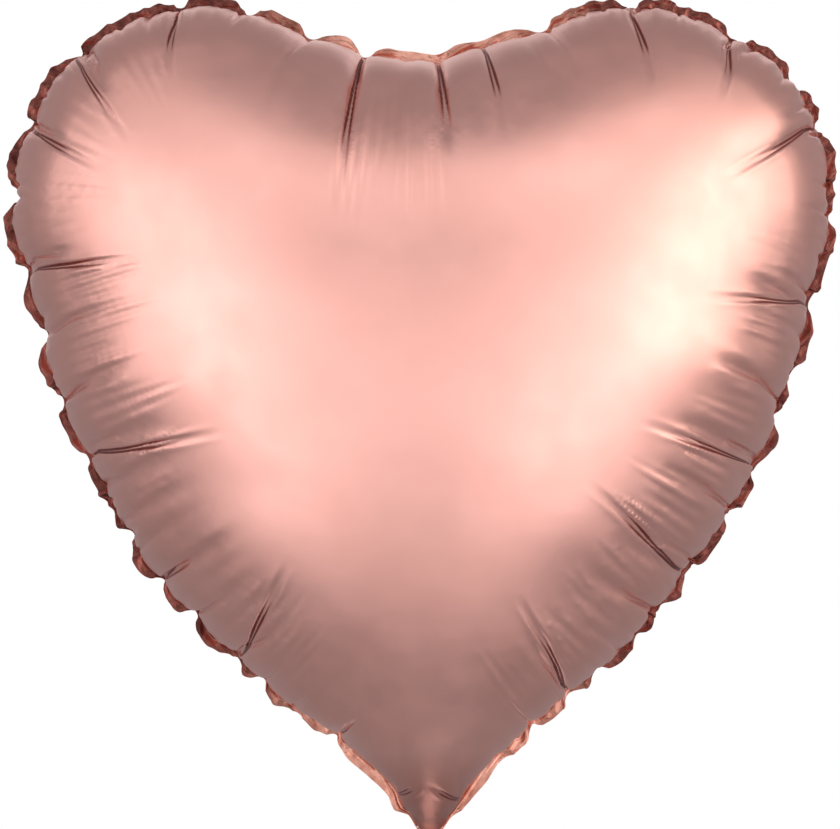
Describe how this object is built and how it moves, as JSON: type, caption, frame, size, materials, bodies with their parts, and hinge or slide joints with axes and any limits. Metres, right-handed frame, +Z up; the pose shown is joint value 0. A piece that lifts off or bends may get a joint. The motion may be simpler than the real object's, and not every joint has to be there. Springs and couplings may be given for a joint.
{
  "type": "heart-shaped foil balloon",
  "caption": "Inflated heart-shaped foil balloon with a heat-sealed rim, a flat filling valve and a tail folded up behind its tip.",
  "frame": {"origin": "the neck, where the tail leaves the bottom of the heart, on the seam plane", "axes": "+Z up the heart from its tip to its cleft, +X to the right seen from the front, -Y out of the front"},
  "size_m": [0.376, 0.216, 0.3727],
  "materials": {
    "satin_foil": "satin rose-gold metallised film",
    "sealed_foil": "glossy crinkled heat-sealed film, copper",
    "clear_film": "thin clear plastic film",
    "release_print": "matte heat-resistant print"
  },
  "bodies": {
    "envelope": {"front_panel": "satin_foil", "rear_panel": "satin_foil", "seam_flange": "sealed_foil", "valve_front_film": "clear_film", "valve_rear_film": "clear_film", "valve_release_print": "release_print"},
    "tail": {"tail_front_film": "satin_foil", "tail_rear_film": "satin_foil", "tail_valve_front": "clear_film", "tail_valve_rear": "clear_film"}
  },
  "joints": [
    {"name": "tail_fold", "type": "hinge", "parent": "envelope", "child": "tail", "pos_m": [0, 0.0015, 0], "axis": [-1, 0, 0], "range_deg": [0, 150]}
  ]
}
